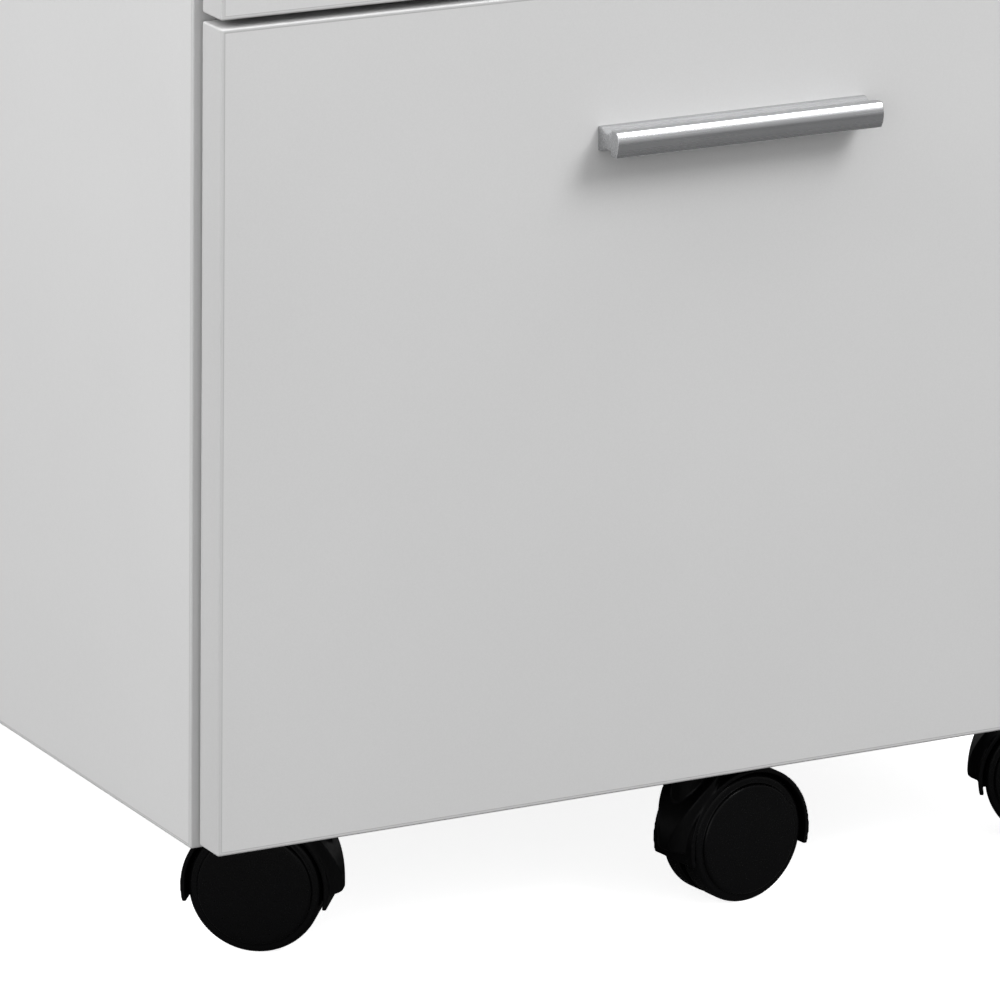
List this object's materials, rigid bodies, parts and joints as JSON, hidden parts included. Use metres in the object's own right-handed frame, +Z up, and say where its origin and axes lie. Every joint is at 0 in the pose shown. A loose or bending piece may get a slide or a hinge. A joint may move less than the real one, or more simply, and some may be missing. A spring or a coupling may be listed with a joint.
{
  "type": "rolling pedestal cabinet",
  "caption": "Rolling office pedestal cabinet in light grey laminate, with box drawers over a file drawer, bar handles and black twin-wheel casters.",
  "frame": {"origin": "on the floor, below the middle of the whole cabinet", "axes": "+X to the right seen from the front, +Y towards the back, +Z up"},
  "size_m": [0.42, 0.465, 0.625],
  "materials": {
    "laminate": "satin light grey melamine laminate on particle board",
    "drawer_board": "satin light grey melamine laminate on particle board",
    "backing_board": "thin fibreboard with a light grey face",
    "handle": "satin anodised extrusion",
    "zinc": "bright zinc plate",
    "retainer": "pressed steel with steel balls",
    "hanging_rail": "grey powder coat",
    "bracket": "black powder coat",
    "hood": "black moulded nylon",
    "wheel": "black moulded nylon, satin"
  },
  "bodies": {
    "cabinet": {"side_panel_left": "laminate", "side_panel_right": "laminate", "top_panel": "laminate", "bottom_panel": "laminate", "back_panel": "backing_board", "carcass_fittings": "zinc", "cabinet_rails": "zinc", "caster_plates": "bracket", "caster_screws": "zinc"},
    "file_drawer": {"file_front": "laminate", "file_side_left": "drawer_board", "file_side_right": "drawer_board", "file_back": "drawer_board", "file_bottom": "backing_board", "file_handle": "handle", "file_handle_screws": "zinc", "file_drawer_rails": "zinc", "file_hanging_rails": "hanging_rail", "anti_tip_bracket": "bracket"},
    "middle_drawer": {"middle_front": "laminate", "middle_side_left": "drawer_board", "middle_side_right": "drawer_board", "middle_back": "drawer_board", "middle_bottom": "backing_board", "middle_handle": "handle", "middle_handle_screws": "zinc", "middle_drawer_rails": "zinc"},
    "top_drawer": {"top_front": "laminate", "top_side_left": "drawer_board", "top_side_right": "drawer_board", "top_back": "drawer_board", "top_bottom": "backing_board", "top_handle": "handle", "top_handle_screws": "zinc", "top_drawer_rails": "zinc"},
    "file_middle_rails": {"file_middle_rails": "zinc"},
    "file_outer_cages": {"file_outer_cages": "retainer"},
    "file_inner_cages": {"file_inner_cages": "retainer"},
    "middle_ball_cages": {"middle_ball_cages": "retainer"},
    "top_ball_cages": {"top_ball_cages": "retainer"},
    "caster_front_left": {"hood_front_left": "hood", "axle_front_left": "zinc"},
    "caster_front_right": {"hood_front_right": "hood", "axle_front_right": "zinc"},
    "caster_rear_left": {"hood_rear_left": "hood", "axle_rear_left": "zinc"},
    "caster_rear_right": {"hood_rear_right": "hood", "axle_rear_right": "zinc"},
    "caster_anti_tip": {"hood_anti_tip": "hood", "axle_anti_tip": "zinc"},
    "wheel_front_left_a": {"wheel_front_left_a": "wheel"},
    "wheel_front_left_b": {"wheel_front_left_b": "wheel"},
    "wheel_front_right_a": {"wheel_front_right_a": "wheel"},
    "wheel_front_right_b": {"wheel_front_right_b": "wheel"},
    "wheel_rear_left_a": {"wheel_rear_left_a": "wheel"},
    "wheel_rear_left_b": {"wheel_rear_left_b": "wheel"},
    "wheel_rear_right_a": {"wheel_rear_right_a": "wheel"},
    "wheel_rear_right_b": {"wheel_rear_right_b": "wheel"},
    "wheel_anti_tip_a": {"wheel_anti_tip_a": "wheel"},
    "wheel_anti_tip_b": {"wheel_anti_tip_b": "wheel"}
  },
  "joints": [
    {"name": "file_drawer_slide", "type": "slide", "parent": "cabinet", "child": "file_drawer", "axis": [0, -1, 0], "range_m": [0, 0.4]},
    {"name": "middle_drawer_slide", "type": "slide", "parent": "cabinet", "child": "middle_drawer", "axis": [0, -1, 0], "range_m": [0, 0.3]},
    {"name": "top_drawer_slide", "type": "slide", "parent": "cabinet", "child": "top_drawer", "axis": [0, -1, 0], "range_m": [0, 0.3]},
    {"name": "file_middle_rails_slide", "type": "slide", "parent": "cabinet", "child": "file_middle_rails", "axis": [0, -1, 0], "range_m": [0, 0.2]},
    {"name": "file_outer_cages_slide", "type": "slide", "parent": "cabinet", "child": "file_outer_cages", "axis": [0, -1, 0], "range_m": [0, 0.1]},
    {"name": "file_inner_cages_slide", "type": "slide", "parent": "cabinet", "child": "file_inner_cages", "axis": [0, -1, 0], "range_m": [0, 0.3]},
    {"name": "middle_ball_cages_slide", "type": "slide", "parent": "cabinet", "child": "middle_ball_cages", "axis": [0, -1, 0], "range_m": [0, 0.15]},
    {"name": "top_ball_cages_slide", "type": "slide", "parent": "cabinet", "child": "top_ball_cages", "axis": [0, -1, 0], "range_m": [0, 0.15]},
    {"name": "front_left_swivel", "type": "hinge", "parent": "cabinet", "child": "caster_front_left", "pos_m": [-0.148, -0.1785, 0.045], "axis": [0, 0, 1], "continuous": true},
    {"name": "front_right_swivel", "type": "hinge", "parent": "cabinet", "child": "caster_front_right", "pos_m": [0.148, -0.1785, 0.045], "axis": [0, 0, 1], "continuous": true},
    {"name": "rear_left_swivel", "type": "hinge", "parent": "cabinet", "child": "caster_rear_left", "pos_m": [-0.148, 0.1995, 0.045], "axis": [0, 0, 1], "continuous": true},
    {"name": "rear_right_swivel", "type": "hinge", "parent": "cabinet", "child": "caster_rear_right", "pos_m": [0.148, 0.1995, 0.045], "axis": [0, 0, 1], "continuous": true},
    {"name": "anti_tip_swivel", "type": "hinge", "parent": "file_drawer", "child": "caster_anti_tip", "pos_m": [0, -0.1979, 0.045], "axis": [0, 0, 1], "continuous": true},
    {"name": "front_left_wheel_a_spin", "type": "hinge", "parent": "caster_front_left", "child": "wheel_front_left_a", "pos_m": [-0.16376, -0.16619, 0.025], "axis": [-0.6157, -0.788, 0], "continuous": true},
    {"name": "front_left_wheel_b_spin", "type": "hinge", "parent": "caster_front_left", "child": "wheel_front_left_b", "pos_m": [-0.16376, -0.16619, 0.025], "axis": [-0.6157, -0.788, 0], "continuous": true},
    {"name": "front_right_wheel_a_spin", "type": "hinge", "parent": "caster_front_right", "child": "wheel_front_right_a", "pos_m": [0.16532, -0.1885, 0.025], "axis": [0.5, 0.866, 0], "continuous": true},
    {"name": "front_right_wheel_b_spin", "type": "hinge", "parent": "caster_front_right", "child": "wheel_front_right_b", "pos_m": [0.16532, -0.1885, 0.025], "axis": [0.5, 0.866, 0], "continuous": true},
    {"name": "rear_left_wheel_a_spin", "type": "hinge", "parent": "caster_rear_left", "child": "wheel_rear_left_a", "pos_m": [-0.16613, 0.19105, 0.025], "axis": [0.4226, -0.9063, 0], "continuous": true},
    {"name": "rear_left_wheel_b_spin", "type": "hinge", "parent": "caster_rear_left", "child": "wheel_rear_left_b", "pos_m": [-0.16613, 0.19105, 0.025], "axis": [0.4226, -0.9063, 0], "continuous": true},
    {"name": "rear_right_wheel_a_spin", "type": "hinge", "parent": "caster_rear_right", "child": "wheel_rear_right_a", "pos_m": [0.16679, 0.19266, 0.025], "axis": [0.342, 0.9397, 0], "continuous": true},
    {"name": "rear_right_wheel_b_spin", "type": "hinge", "parent": "caster_rear_right", "child": "wheel_rear_right_b", "pos_m": [0.16679, 0.19266, 0.025], "axis": [0.342, 0.9397, 0], "continuous": true},
    {"name": "anti_tip_wheel_a_spin", "type": "hinge", "parent": "caster_anti_tip", "child": "wheel_anti_tip_a", "pos_m": [0.01985, -0.19546, 0.025], "axis": [-0.1219, 0.9925, 0], "continuous": true},
    {"name": "anti_tip_wheel_b_spin", "type": "hinge", "parent": "caster_anti_tip", "child": "wheel_anti_tip_b", "pos_m": [0.01985, -0.19546, 0.025], "axis": [-0.1219, 0.9925, 0], "continuous": true}
  ],
  "couplings": [
    {"joint": "file_middle_rails_slide", "follows": "file_drawer_slide", "ratio": 0.5},
    {"joint": "file_outer_cages_slide", "follows": "file_drawer_slide", "ratio": 0.25},
    {"joint": "file_inner_cages_slide", "follows": "file_drawer_slide", "ratio": 0.75},
    {"joint": "middle_ball_cages_slide", "follows": "middle_drawer_slide", "ratio": 0.5},
    {"joint": "top_ball_cages_slide", "follows": "top_drawer_slide", "ratio": 0.5}
  ]
}
